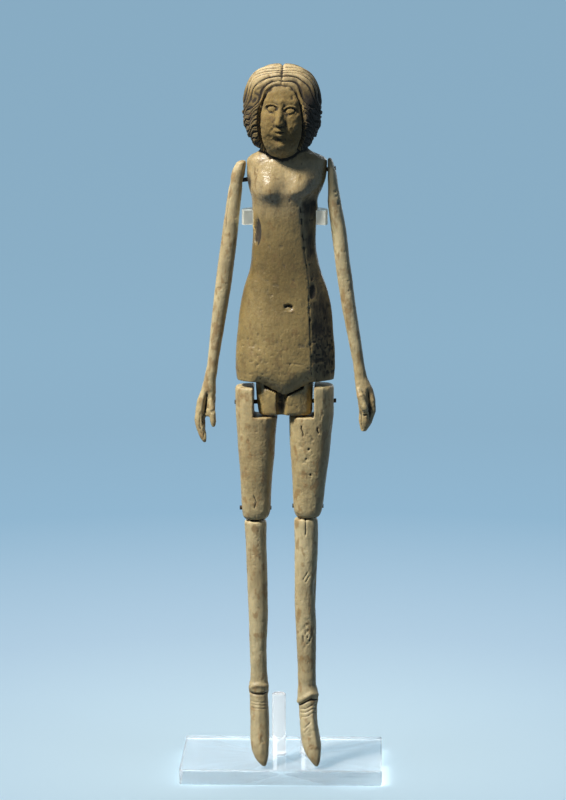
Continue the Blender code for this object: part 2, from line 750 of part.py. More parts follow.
def collar(name, waist, height, rod_y, collection, cutters):
    """An open ring round the waist, from one flank round the back to the other."""
    half_width, half_depth, across = waist
    inner = (half_width + FIT_GAP, half_depth + FIT_GAP)
    outer = [size + CRADLE_THICKNESS for size in inner]
    sweep = math.pi + 2.0 * COLLAR_HOOK
    turns = [sweep * index / COLLAR_BENDS - COLLAR_HOOK for index in range(COLLAR_BENDS + 1)]
    outline = [bend(*inner, turn) for turn in turns] + [bend(*outer, turn) for turn in reversed(turns)]
    item = plate(name, outline, (across, FIGURE_Y, height), CRADLE_HEIGHT, collection, cutters)
    half_pad = ROD_DIAMETER / 2.0 + PAD_WALL
    nearest = (ROD_OFFSET_X - half_pad - across) / inner[0]
    bar_inside = inner[1] * (1.0 - abs(nearest) ** COLLAR_SQUARENESS) ** (1.0 / COLLAR_SQUARENESS)
    pad_front = FIGURE_Y + bar_inside + PAD_OVERLAP * CRADLE_THICKNESS
    pad_low = (ROD_OFFSET_X - half_pad, pad_front, height - CRADLE_HEIGHT / 2.0)
    pad_high = (ROD_OFFSET_X + half_pad, rod_y + half_pad, height + CRADLE_HEIGHT / 2.0)
    join(item, box("pad", pad_low, pad_high, cutters))
    round_edges(item)
    return item


def build():
    remove_all_objects()
    doll = make_collection("ivory_doll")
    cutters = make_collection("cutters")
    body_ivory = make_material("ivory_body", IVORY_BODY_COLOUR, 0.35)
    limb_ivory = make_material("ivory_limbs", IVORY_LIMB_COLOUR, 0.45)
    iron = make_material("iron_pin", IRON_COLOUR, 0.6, 1.0)
    clear = make_material("clear_acrylic", CLEAR_COLOUR, 0.05)

    body = head_and_torso(doll, cutters)
    limbs = [
        arm("right_arm", RIGHT_ARM, [RIGHT_FINGERS, RIGHT_THUMB], -1.0, doll, cutters),
        arm("left_arm", LEFT_ARM, [LEFT_THUMB], 1.0, doll, cutters),
        thigh("right_thigh", RIGHT_THIGH, RIGHT_TAB_INNER, -1.0, doll, cutters),
        thigh("left_thigh", LEFT_THIGH, LEFT_TAB_INNER, 1.0, doll, cutters),
        shin("right_shin", RIGHT_SHIN, RIGHT_THIGH, doll, cutters),
        shin("left_shin", LEFT_SHIN, LEFT_THIGH, doll, cutters),
    ]
    pins = [
        pin("shoulder_pin", *pin_ends(SHOULDER_PIN, SHOULDER_PIN_Y), doll),
        pin("hip_pin", *pin_ends(HIP_PIN, HIP_PIN_Y), doll),
        pin("right_knee_pin", *knee_pin_ends(RIGHT_THIGH), doll),
        pin("left_knee_pin", *knee_pin_ends(LEFT_THIGH), doll),
    ]
    stand_pieces = stand(doll, cutters)
    for items, material in (([body], body_ivory), (limbs, limb_ivory), (pins, iron), (stand_pieces, clear)):
        for item in items:
            item.data.materials.clear()
            item.data.materials.append(material)
            item.data.shade_smooth()
            item.data.set_sharp_from_angle(angle=math.radians(45.0))


build()
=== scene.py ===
import math

import bmesh
import bpy
import numpy as np
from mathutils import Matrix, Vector


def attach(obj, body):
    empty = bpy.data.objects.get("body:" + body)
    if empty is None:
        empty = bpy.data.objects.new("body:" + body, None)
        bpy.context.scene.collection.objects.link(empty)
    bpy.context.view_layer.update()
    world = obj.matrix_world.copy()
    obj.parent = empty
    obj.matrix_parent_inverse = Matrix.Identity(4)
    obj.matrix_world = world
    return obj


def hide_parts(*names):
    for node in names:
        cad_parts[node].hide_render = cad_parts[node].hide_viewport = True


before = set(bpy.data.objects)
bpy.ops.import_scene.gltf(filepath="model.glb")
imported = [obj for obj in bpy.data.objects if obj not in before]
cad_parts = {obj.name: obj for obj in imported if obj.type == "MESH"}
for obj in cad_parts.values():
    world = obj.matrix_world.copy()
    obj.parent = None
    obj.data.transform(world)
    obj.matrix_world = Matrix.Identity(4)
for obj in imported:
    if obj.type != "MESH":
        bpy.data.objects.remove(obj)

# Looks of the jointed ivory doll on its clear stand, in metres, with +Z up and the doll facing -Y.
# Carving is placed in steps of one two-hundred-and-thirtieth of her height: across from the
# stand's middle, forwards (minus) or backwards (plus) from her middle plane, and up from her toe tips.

STEP = 0.001
FIGURE_Y = -0.012
FIGURE_BASE = 0.006
ORIGIN = np.array((0.0, FIGURE_Y, FIGURE_BASE))

# Camera: place, downward tilt, turn to the left, focal length and the width of its frame
CAMERA_PLACE = (0.03039, -1.0748, 0.29767)
CAMERA_TILT = 0.159
CAMERA_TURN = 0.028
CAMERA_LENS = 148.4
CAMERA_SENSOR = 36.0

# Key light: how far round to the left, how high and how far off
KEY_TURN = math.radians(54.0)
KEY_RISE = math.radians(52.0)
KEY_DISTANCE = 1.5

# Meshing of the ivory: voxel, rounds of evening out and how softly they end, most triangles of a piece
VOXEL = 0.00026
BODY_ROUNDS = 4
LIMB_ROUNDS = 7
EVEN_FADE = 4.0
BODY_FACES = 190000
LIMB_FACES = 60000

# Dirt: rounds that average a point's surroundings, depth of a full hollow, and how clean a crest is
HOLLOW_ROUNDS = 14
HOLLOW_FULL = 0.25
CREST_CLEAN = -0.3

# First noise seed of the limbs, and the step from one limb to the next
LIMB_SEED = 31
SEED_STEP = 5

# Height up to which the rows of patina with painted light, and of polish, are listed
FULL_HEIGHT = 0.236

# Floor: radius of its level part, rise of its curve, wall above it, sides, steps of the curve, level rings
FLOOR_FLAT = 1.3
FLOOR_RISE = 1.5
FLOOR_WALL = 1.5
FLOOR_SIDES = 96
FLOOR_STEPS = 16
FLOOR_RINGS = (0.05, 0.2, 0.4, 0.6, 0.8, 1.0)

# Head, as in the model: middle, half sizes, and the face set into the hair
HEAD_MIDDLE = np.array((0.4, -0.4, 215.0))
HEAD_HALF_WIDTH = 12.6
HEAD_HALF_DEPTH = 12.0
HEAD_ABOVE = 15.1
HEAD_BELOW = 14.4
FACE_MIDDLE = np.array((0.4, -3.6, 213.4))
FACE_SIZES = np.array((8.8, 9.2, 13.2))
OPENING_MIDDLE = 0.3
OPENING_HALF_WIDTH = 7.3
OPENING_TOP = 225.2
OPENING_BOTTOM = 200.5
HEAD_COLUMNS = 260
HEAD_ROWS = 170

# Points brought back onto the head's form: from this height, outside this core, and this close to it
SHARPEN_FROM = 200.0
SHARPEN_CORE = 3.0
SHARPEN_REACH = 0.45

# Trunk, as in the model: height, middle across, half width, half depth, squareness, facet reach
HIP_CUT = 134.4
TRUNK = [
    (131.5, 1.4, 16.2, 9.0, 2.5, 11.9),
    (138.3, 1.4, 16.1, 9.0, 2.5, 11.6),
    (144.8, 1.4, 15.5, 8.8, 2.4, 11.0),
    (151.4, 1.5, 14.9, 8.4, 2.4, 10.5),
    (158.0, 1.4, 13.5, 7.8, 2.4, 9.9),
    (164.5, 1.3, 11.4, 7.1, 2.4, 8.9),
    (171.0, 1.0, 10.4, 6.6, 2.4, 8.1),
    (177.6, 1.1, 10.2, 6.5, 2.4, 7.8),
    (184.1, 1.3, 10.6, 6.8, 2.5, 7.7),
    (187.3, 1.2, 10.7, 7.0, 2.5, 8.3),
    (190.5, 1.5, 11.8, 7.1, 2.6, 9.6),
    (194.0, 1.8, 12.7, 7.0, 2.8, 11.4),
    (197.5, 1.9, 12.9, 6.5, 3.0, 12.4),
    (199.3, 1.9, 12.95, 6.0, 2.9, 12.4),
    (200.4, 1.8, 12.4, 5.6, 2.7, 12.4),
    (201.4, 1.5, 11.0, 5.2, 2.4, 12.4),
    (202.5, 1.3, 8.7, 5.1, 2.2, 12.4),
    (204.2, 1.1, 6.9, 5.3, 2.1, 12.4),
    (206.5, 1.0, 6.3, 5.5, 2.0, 12.4),
    (210.0, 0.8, 5.8, 5.4, 2.0, 12.4),
]
TRUNK_ROWS = 300
TRUNK_COLUMNS = 240
FACET_TURN = math.radians(-48.0)
BELLY_LEVEL = 156.5
BELLY_FLAT = 1.0
BELLY_REACH = 10.0
FRONT_ROUNDNESS = 2.05
FRONT_BLEND = 8.0
BREASTS = [(-4.3, 189.8), (6.3, 190.4)]
BREAST_RISE = 2.5
BREAST_HALF_WIDTH = 3.8
BREAST_SQUARENESS = 2.4
BREAST_BELOW = 2.7
BREAST_ABOVE = 5.2


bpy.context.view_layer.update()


def smooth(low, high, value):
    share = np.clip((value - low) / (high - low), 0.0, 1.0)
    return share * share * (3.0 - 2.0 * share)


def bell(value, width):
    return np.exp(-(value / width) ** 2)


def noise(points, size, seed=0):
    """Smooth repeatable values from -1 to 1 in lumps about one size across."""
    spot = points / size + 17.3 * seed
    cell = np.floor(spot).astype(np.int64)
    part = spot - cell
    part = part * part * (3.0 - 2.0 * part)
    total = np.zeros(len(points))
    for shift in np.ndindex(2, 2, 2):
        key = cell + np.array(shift)
        key = (key[:, 0] * 73856093) ^ (key[:, 1] * 19349663) ^ (key[:, 2] * 83492791) ^ (seed * 7919)
        key = (key ^ (key >> 13)) * 1274126177
        key = key ^ (key >> 16)
        share = np.prod(np.where(shift, part, 1.0 - part), axis=1)
        total += share * ((key & 0xFFFF) / 32767.5 - 1.0)
    return total


def vertices_of(mesh):
    """The mesh's points, in steps."""
    places = np.empty(len(mesh.vertices) * 3)
    mesh.vertices.foreach_get("co", places)
    return (places.reshape(-1, 3) - ORIGIN) / STEP


def move_vertices(mesh, points):
    mesh.vertices.foreach_set("co", (points * STEP + ORIGIN).ravel())
    mesh.update()


def normals_of(mesh):
    values = np.empty(len(mesh.vertices) * 3)
    mesh.vertices.foreach_get("normal", values)
    return values.reshape(-1, 3)


def edges_of(mesh):
    values = np.empty(len(mesh.edges) * 2, np.int64)
    mesh.edges.foreach_get("vertices", values)
    return values.reshape(-1, 2)


def neighbours_middle(points, edges, count):
    """The middle of each point's neighbours."""
    total = np.empty_like(points)
    for axis in range(3):
        one_way = np.bincount(edges[:, 0], points[edges[:, 1], axis], len(points))
        other_way = np.bincount(edges[:, 1], points[edges[:, 0], axis], len(points))
        total[:, axis] = one_way + other_way
    return total / count


def even_out(mesh, rounds, low=-math.inf, high=math.inf):
    """Moves each point between two heights towards the middle of its neighbours, several times."""
    points = vertices_of(mesh)
    share = 0.5
    if math.isfinite(low):
        heights = points[:, 2]
        inside = smooth(low, low + EVEN_FADE, heights) * smooth(high, high - EVEN_FADE, heights)
        share = 0.5 * inside[:, None]
    edges = edges_of(mesh)
    count = np.maximum(np.bincount(edges.ravel(), minlength=len(points)), 1)[:, None]
    for _ in range(rounds):
        points += share * (neighbours_middle(points, edges, count) - points)
    move_vertices(mesh, points)


def settle(item):
    """Makes what an object's modifiers give its own mesh."""
    depsgraph = bpy.context.evaluated_depsgraph_get()
    mesh = bpy.data.meshes.new_from_object(item.evaluated_get(depsgraph))
    item.modifiers.clear()
    item.data = mesh


def add_object(name, mesh):
    item = bpy.data.objects.new(name, mesh)
    bpy.context.scene.collection.objects.link(item)
    return item


def remesh(item, size):
    skin = item.modifiers.new("Skin", "REMESH")
    skin.mode = "VOXEL"
    skin.voxel_size = size
    settle(item)


def thin_out(item, most_faces):
    """Brings a mesh under a number of triangles, fewest where it is plain."""
    item.data.calc_loop_triangles()
    count = len(item.data.loop_triangles)
    if count > most_faces:
        fewer = item.modifiers.new("Fewer", "DECIMATE")
        fewer.ratio = most_faces / count
        settle(item)


def path_distance(points, path):
    """Each point's distance from a path, seen from the front, and how far along the path it lies."""
    across = points[:, [0, 2]]
    best = np.full(len(points), 1e9)
    share = np.zeros(len(points))
    path = np.array(path, float)
    lengths = np.linalg.norm(np.diff(path, axis=0), axis=1)
    before = np.concatenate(([0.0], np.cumsum(lengths)))
    for start, end, length, run in zip(path, path[1:], lengths, before):
        along = np.clip(((across - start) @ (end - start)) / length ** 2, 0.0, 1.0)
        nearest = start + along[:, None] * (end - start)
        distance = np.linalg.norm(across - nearest, axis=1)
        closer = distance < best
        best = np.where(closer, distance, best)
        share = np.where(closer, (run + along * length) / before[-1], share)
    return best, share


def near_path(points, path, reach):
    """Which points lie within reach of the box round a path, seen from the front."""
    low = np.min(path, axis=0) - reach
    high = np.max(path, axis=0) + reach
    across = (points[:, 0] > low[0]) & (points[:, 0] < high[0])
    up = (points[:, 2] > low[1]) & (points[:, 2] < high[1])
    return across & up


def carve(points, normals, path, width, depth, ends=0.18):
    """Sinks a groove along a path drawn on the front, or raises a ridge where depth is below zero.

    Depth is one number or one for each point, and ends is the share of the path that fades out.
    """
    towards = -normals[:, 1]
    chosen = np.nonzero(near_path(points, path, 3.0 * width) & (towards > 0.0))[0]
    distance, share = path_distance(points[chosen], path)
    taper = smooth(0.0, ends, share) * smooth(1.0, 1.0 - ends, share) if ends else 1.0
    depth_there = np.broadcast_to(depth, len(points))[chosen]
    amount = depth_there * bell(distance, width) * taper * smooth(0.0, 0.35, towards[chosen])
    points[chosen] -= normals[chosen] * amount[:, None]


def pit(points, normals, spot, sizes, depth):
    """A shallow oval hollow seen from the front: its place and half sizes across and up."""
    towards = -normals[:, 1]
    chosen = np.nonzero(near_path(points, [spot], 2.5 * max(sizes)) & (towards > 0.0))[0]
    across = (points[chosen, 0] - spot[0]) / sizes[0]
    up = (points[chosen, 2] - spot[1]) / sizes[1]
    amount = depth * np.exp(-(across * across + up * up) ** 2.0) * smooth(0.0, 0.3, towards[chosen])
    points[chosen] -= normals[chosen] * amount[:, None]


def scoop(points, normals, middle, sizes):
    """Cuts an egg-shaped hollow with a sharp rim: its middle and half sizes."""
    away = (points - middle) / sizes
    chosen = np.nonzero((away * away).sum(1) < 1.0)[0]
    inwards = normals[chosen] / sizes
    a = (inwards * inwards).sum(1)
    b = -2.0 * (away[chosen] * inwards).sum(1)
    c = (away[chosen] ** 2).sum(1) - 1.0
    depth = (-b + np.sqrt(b * b - 4.0 * a * c)) / (2.0 * a)
    points[chosen] -= normals[chosen] * depth[:, None]


def weather(points, normals, amount, seed):
    """Handling and age: slow waves, small dents, fine grain and scattered pores."""
    relief = 0.05 * noise(points, 4.0, seed) + 0.035 * noise(points, 1.6, seed + 1)
    relief += 0.025 * noise(points * (1.0, 1.0, 0.22), 0.55, seed + 2)
    pores = noise(points * (1.0, 1.0, 0.5), 0.8, seed + 3)
    relief -= 0.10 * smooth(0.62, 0.9, pores)
    points += normals * (amount * relief)[:, None]


# Head


def face_ring(x, z):
    """1 on the face's outline, less inside it and more outside it."""
    middle = (OPENING_TOP + OPENING_BOTTOM) / 2.0
    half_height = (OPENING_TOP - OPENING_BOTTOM) / 2.0
    across = (x - OPENING_MIDDLE) / OPENING_HALF_WIDTH
    up = (z - middle) / half_height
    squareness = np.where(up > 0.0, 2.5, 2.1)
    return (np.abs(across) ** squareness + np.abs(up) ** squareness) ** (1.0 / squareness)


def face_reach(direction):
    start = (HEAD_MIDDLE - FACE_MIDDLE) / FACE_SIZES
    ray = direction / FACE_SIZES
    a = (ray * ray).sum(1)
    b = 2.0 * ray @ start
    c = start @ start - 1.0
    return (-b + np.sqrt(np.maximum(b * b - 4.0 * a * c, 0.0))) / (2.0 * a)


def face_relief(x, z):
    """Rise of the brow, eyes, nose, lips, cheeks and chin above the plain face."""
    rise = 0.30 * bell(z - 219.3, 0.9) * smooth(6.8, 4.0, np.abs(x - 0.4))
    nose_x = 0.3 - 0.45 * smooth(218.0, 212.8, z)
    height = (0.55 + 1.35 * smooth(218.2, 213.0, z)) * smooth(220.6, 218.0, z) * smooth(211.2, 212.4, z)
    rise += height * bell(x - nose_x, 0.9 + 0.3 * smooth(217.5, 213.0, z))
    for side in (-1.0, 1.0):
        rise += 0.40 * bell(x - nose_x - side * 1.05, 0.45) * bell(z - 212.7, 0.7)
        from_eye = x - 0.25 - side * 3.05
        up = z - 216.6 + 0.35 * side
        arch = np.sqrt(np.maximum(1.0 - (from_eye / 2.3) ** 2, 0.0))
        rise -= 1.3 * bell(from_eye, 2.0) * bell(up - 0.1, 1.3)
        rise += 1.25 * np.sqrt(np.maximum(1.0 - (from_eye / 1.4) ** 2 - (up / 0.9) ** 2, 0.0))
        rise += 0.65 * bell(up - 1.35 * arch, 0.32) * smooth(2.3, 1.7, np.abs(from_eye))
        rise += 0.25 * bell(up + 0.95 * arch, 0.28) * smooth(2.1, 1.5, np.abs(from_eye))
        rise += 0.85 * bell(x - 0.3 - side * 4.3, 2.6) * bell(z - 211.2, 3.8)
        fold = side * (x - 0.1) - 1.7 - 0.42 * (212.4 - z)
        rise -= 0.25 * bell(fold, 0.4) * bell(z - 210.9, 1.5)
    lips_x = x + 0.05
    rise += 0.75 * bell(lips_x, 2.4) * bell(z - 209.8, 1.9)
    rise += 0.50 * bell(lips_x, 1.0) * bell(z - 210.5, 0.55)
    rise += 0.60 * bell(lips_x, 0.95) * bell(z - 208.7, 0.7)
    rise -= 0.75 * bell(lips_x - 0.2, 1.15) * bell(z - 209.6, 0.28)
    rise -= 0.20 * bell(lips_x, 0.4) * bell(z - 211.3, 0.5)
    rise -= 0.60 * bell(lips_x, 2.1) * bell(z - 206.9, 0.8)
    rise += 0.95 * bell(lips_x, 2.6) * bell(z - 204.6, 2.0)
    worn = np.stack((x, 0.0 * x, z), axis=-1)
    return rise + 0.22 * noise(worn, 2.4, 8) + 0.17 * noise(worn, 1.1, 9) + 0.08 * noise(worn, 0.55, 10)


def strand_grooves(value, spacing, sharpness):
    """1 in the groove between two strands and 0 on their crests."""
    nearest = np.abs(value / spacing - np.round(value / spacing))
    return bell(nearest, sharpness)


def hair_relief(surface):
    """How far the locks and strands are cut into the plain mass of hair."""
    x, y, z = surface.T
    out = np.abs(x - HEAD_MIDDLE[0])
    side = smooth(229.0, 217.0, z)
    run = z + 0.62 * out * side + (0.75 - 0.4 * side) * y
    wave = 0.5 * np.sin(1.25 * (out + 0.5 * y) + 0.5 * z) * smooth(227.0, 220.0, z)
    loose = 0.35 * noise(surface, 3.2, 5)
    cut = 0.16 * (1.0 - np.cos((run + 0.5 * loose) * 2.0 * math.pi / 4.2))
    strands = strand_grooves(run + wave + loose, 1.45, 0.17)
    cut += 0.70 * strands * (0.8 + 0.4 * noise(surface, 3.5, 6))
    fine_strands = strand_grooves(run + 1.2 * wave + 1.5 * loose + 0.3, 0.7, 0.22)
    cut += 0.22 * fine_strands * (0.6 + 0.5 * noise(surface, 2.5, 7))
    return (cut - 0.40) * smooth(201.5, 204.5, z)


def head_reach(direction):
    """How far the head's surface lies from its middle along each direction."""
    above = direction[:, 2] > 0.0
    squareness = np.where(above, 2.5, 2.0)
    half_height = np.where(above, HEAD_ABOVE, HEAD_BELOW)
    level = np.hypot(direction[:, 0] / HEAD_HALF_WIDTH, direction[:, 1] / HEAD_HALF_DEPTH)
    upright = np.abs(direction[:, 2]) / half_height
    reach = (level ** squareness + upright ** squareness) ** (-1.0 / squareness)
    surface = HEAD_MIDDLE + direction * reach[:, None]
    x, y, z = surface.T
    crown = smooth(HEAD_MIDDLE[2], HEAD_MIDDLE[2] + 10.0, z)
    parting = bell(x - 0.5, 0.45) * smooth(9.0, 3.0, y) * crown
    reach -= 0.35 * parting + 0.12 * crown * bell(x - 0.5, 1.6)
    reach -= hair_relief(surface) * (1.0 - 0.8 * parting)
    ring = face_ring(x, z)
    front = smooth(0.1, 0.35, -direction[:, 1])
    reach += 0.5 * bell(ring - 1.2, 0.15) * front * smooth(205.0, 210.0, z) * smooth(222.0, 216.0, z)
    reach -= 1.5 * smooth(1.55, 1.04, ring) * front * smooth(214.0, 222.0, z)
    reach += 0.3 * smooth(222.0, 229.0, z)
    skin = face_reach(direction)
    spot = HEAD_MIDDLE + direction * skin[:, None]
    skin += face_relief(spot[:, 0], spot[:, 2]) * -direction[:, 1]
    beside = smooth(202.0, 206.0, z) * smooth(224.0, 219.0, z)
    skin -= 2.6 * bell(ring - 1.03, 0.05) * beside * front
    inside = smooth(1.06, 1.01, ring) * (direction[:, 1] < 0.0)
    return reach * (1.0 - inside) + skin * inside


def head_shell():
    """The head with its face and hair, as rows of points round its middle from crown to neck."""
    shape = bmesh.new()
    tilt = math.pi * np.arange(1, HEAD_ROWS) / HEAD_ROWS
    turn = 2.0 * math.pi * np.arange(HEAD_COLUMNS) / HEAD_COLUMNS
    tilt, turn = np.meshgrid(tilt, turn, indexing="ij")
    out = np.sin(tilt)
    direction = np.stack((-np.sin(turn) * out, -np.cos(turn) * out, np.cos(tilt)), axis=-1)
    direction = direction.reshape(-1, 3)
    points = (HEAD_MIDDLE + direction * head_reach(direction)[:, None]) * STEP + ORIGIN
    grid = points.reshape(HEAD_ROWS - 1, HEAD_COLUMNS, 3)
    rows = [[shape.verts.new(point) for point in row] for row in grid]
    for upper, lower in zip(rows, rows[1:]):
        for index, corner in enumerate(upper):
            following = (index + 1) % HEAD_COLUMNS
            shape.faces.new((corner, upper[following], lower[following], lower[index]))
    shape.faces.new(rows[0])
    shape.faces.new(list(reversed(rows[-1])))
    bmesh.ops.recalc_face_normals(shape, faces=shape.faces)
    return shape


def trunk_ring(share):
    """The trunk's outline at a share of its height, with the breasts and the flat belly."""
    height, across, half_width, half_depth, squareness, facet = station(TRUNK, share)
    around = 2.0 * math.pi * np.arange(TRUNK_COLUMNS) / TRUNK_COLUMNS
    side, front = np.cos(around), np.sin(around)
    blended = smooth(HIP_CUT, HIP_CUT + FRONT_BLEND, height)
    front_squareness = squareness + (FRONT_ROUNDNESS - squareness) * blended
    power = np.where(front < 0.0, front_squareness, squareness)
    reach = (np.abs(side / half_width) ** power + np.abs(front / half_depth) ** power) ** (-1.0 / power)
    towards = side * math.cos(FACET_TURN) + front * math.sin(FACET_TURN)
    reach = np.where(towards > 0.0, np.minimum(reach, facet / np.maximum(towards, 0.01)), reach)
    x = across + reach * side
    y = reach * front
    flat = BELLY_FLAT * bell(height - BELLY_LEVEL, BELLY_REACH)
    y = np.where(y < 0.0, y * (1.0 - flat / half_depth), y)
    for breast_x, breast_z in BREASTS:
        tall = BREAST_BELOW if height < breast_z else BREAST_ABOVE
        from_breast = np.abs((x - breast_x) / BREAST_HALF_WIDTH) ** BREAST_SQUARENESS
        rise = BREAST_RISE * np.exp(-from_breast) * bell(height - breast_z, tall)
        y -= rise * (front < 0.0)
    return np.stack((x, y, np.full(len(x), height)), axis=-1) * STEP + ORIGIN


def trunk_shell(shape):
    """Trunk, shoulder tops and neck, from just above the hips to inside the head."""
    rings = []
    for share in np.linspace(0.0, 1.0, TRUNK_ROWS):
        rings.append([shape.verts.new(spot) for spot in trunk_ring(share)])
    faces = [shape.faces.new(rings[0]), shape.faces.new(list(reversed(rings[-1])))]
    for lower, upper in zip(rings, rings[1:]):
        for index in range(TRUNK_COLUMNS):
            following = (index + 1) % TRUNK_COLUMNS
            faces.append(shape.faces.new((lower[index], lower[following], upper[following], upper[index])))
    bmesh.ops.recalc_face_normals(shape, faces=faces)


def station(stations, share):
    """The row at a share of a list of sizes, on a smooth curve through all of them."""
    rows = np.array(stations)
    place = share * (len(rows) - 1)
    index = min(int(place), len(rows) - 2)
    part = place - index
    before, start, end, after = (rows[np.clip(index + shift, 0, len(rows) - 1)] for shift in (-1, 0, 1, 2))
    leave = 0.5 * (end - before)
    arrive = 0.5 * (after - start)
    cubic = (2.0 * (start - end) + leave + arrive) * part ** 3
    square = (3.0 * (end - start) - 2.0 * leave - arrive) * part ** 2
    return cubic + square + leave * part + start


def body_skin():
    """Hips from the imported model, with a finer trunk and head of the same form above them."""
    item = add_object("ivory_head_and_torso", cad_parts["head_and_torso"].data.copy())
    trunk = bmesh.new()
    trunk.from_mesh(item.data)
    bmesh.ops.remove_doubles(trunk, verts=trunk.verts, dist=0.000001)
    level = Vector((0.0, 0.0, FIGURE_BASE + HIP_CUT * STEP))
    every = trunk.verts[:] + trunk.edges[:] + trunk.faces[:]
    bmesh.ops.bisect_plane(trunk, geom=every, plane_co=level, plane_no=(0.0, 0.0, 1.0), clear_outer=True)
    open_edges = [edge for edge in trunk.edges if edge.is_boundary]
    bmesh.ops.holes_fill(trunk, edges=open_edges)
    trunk.to_mesh(item.data)
    trunk.free()
    upper = head_shell()
    trunk_shell(upper)
    mesh = bpy.data.meshes.new("upper")
    upper.to_mesh(mesh)
    upper.free()
    both = bmesh.new()
    both.from_mesh(item.data)
    both.from_mesh(mesh)
    both.to_mesh(item.data)
    both.free()
    remesh(item, VOXEL)
    return item


def sharpen_head(mesh):
    """Brings the head's points back onto its carved form after meshing."""
    points = vertices_of(mesh)
    away = points - HEAD_MIDDLE
    distance = np.linalg.norm(away, axis=1)
    chosen = np.nonzero((points[:, 2] > SHARPEN_FROM) & (distance > SHARPEN_CORE))[0]
    direction = away[chosen] / distance[chosen, None]
    reach = head_reach(direction)
    close = np.abs(reach - distance[chosen]) < SHARPEN_REACH
    points[chosen[close]] = HEAD_MIDDLE + direction[close] * reach[close, None]
    move_vertices(mesh, points)


# Marks of the trunk, seen from the front
RIDGE_CRACK = [
    (6.3, 185.9), (6.6, 182.7), (7.3, 176.2), (7.6, 170.7), (8.6, 164.9),
    (9.2, 160.0), (9.2, 155.2), (9.6, 145.4), (9.9, 137.2), (10.2, 129.1),
]
LOW_CRACK = [(0.2, 134.1), (4.1, 134.6), (8.0, 133.8)]
MOUND_EDGE = [(-8.2, 128.1), (-3.4, 126.2), (1.5, 124.0), (6.0, 126.1), (10.3, 128.0)]
MOUND_UNDERCUT = 2.4
MOUND_FADE = 6.5
NECK_CREASE = [(-4.1, 200.3), (-2.5, 200.9), (-0.2, 200.5)]
NAVEL = [(1.0, 152.7), (2.6, 153.2), (4.2, 152.6)]
NAVEL_LIP = [(1.2, 151.5), (2.7, 151.2), (4.2, 151.5)]

# Chip, cut by an egg: its middle, its half sizes, and how many times as far out the rim is taken to lie
CHIP_MIDDLE = np.array((-9.7, -5.0, 176.9))
CHIP_SIZES = np.array((3.3, 3.8, 6.3))
CHIP_RIM = 1.02


def chip_distance(points):
    """How far out each point lies from the chip's middle: 1 on its egg."""
    return np.linalg.norm((points - CHIP_MIDDLE) / CHIP_SIZES, axis=1)


def sculpt_body(mesh):
    """Wear, cracks, the chip, the navel and the undercut of the mound, cut into the body's mesh."""
    points = vertices_of(mesh)
    normals = normals_of(mesh)
    below_head = smooth(203.0, 201.0, points[:, 2])
    weather(points, normals, 0.35 + 0.65 * below_head, 11)
    rough = smooth(150.0, 138.0, points[:, 2]) * (points[:, 2] > 120.0)
    points -= normals * (rough * 0.12 * smooth(0.1, 0.8, noise(points, 0.7, 21)))[:, None]
    edge_x, edge_z = np.array(MOUND_EDGE).T
    above = points[:, 2] - np.interp(points[:, 0], edge_x, edge_z)
    under = smooth(-9.5, -4.5, points[:, 0]) * smooth(13.0, 8.5, points[:, 0])
    under = under * (above > -1.0) * (points[:, 1] < -5.5)
    points[:, 1] += MOUND_UNDERCUT * under * (1.0 - np.clip(above, 0.0, MOUND_FADE) / MOUND_FADE) ** 2
    crack_depth = 0.16 + 0.24 * noise(points, 3.0, 22)
    carve(points, normals, RIDGE_CRACK, 0.2, crack_depth, ends=0.05)
    chips = smooth(0.10, 0.6, noise(points, 1.3, 23))
    carve(points, normals, RIDGE_CRACK, 0.6, 0.26 * chips, ends=0.05)
    scoop(points, normals, CHIP_MIDDLE, CHIP_SIZES)
    core = chip_distance(points) < CHIP_RIM
    points += normals * (core * 0.09 * noise(points, 1.3, 24))[:, None]
    carve(points, normals, NAVEL, 0.42, 0.95)
    pit(points, normals, (2.6, 152.2), (1.5, 0.9), 0.35)
    carve(points, normals, NAVEL_LIP, 0.35, -0.18)
    carve(points, normals, LOW_CRACK, 0.22, 0.12)
    carve(points, normals, NECK_CREASE, 0.35, 0.25)
    pit(points, normals, (10.2, 157.4), (1.0, 2.2), 0.45)
    pit(points, normals, (3.8, 220.1), (0.6, 0.9), 0.15)
    move_vertices(mesh, points)


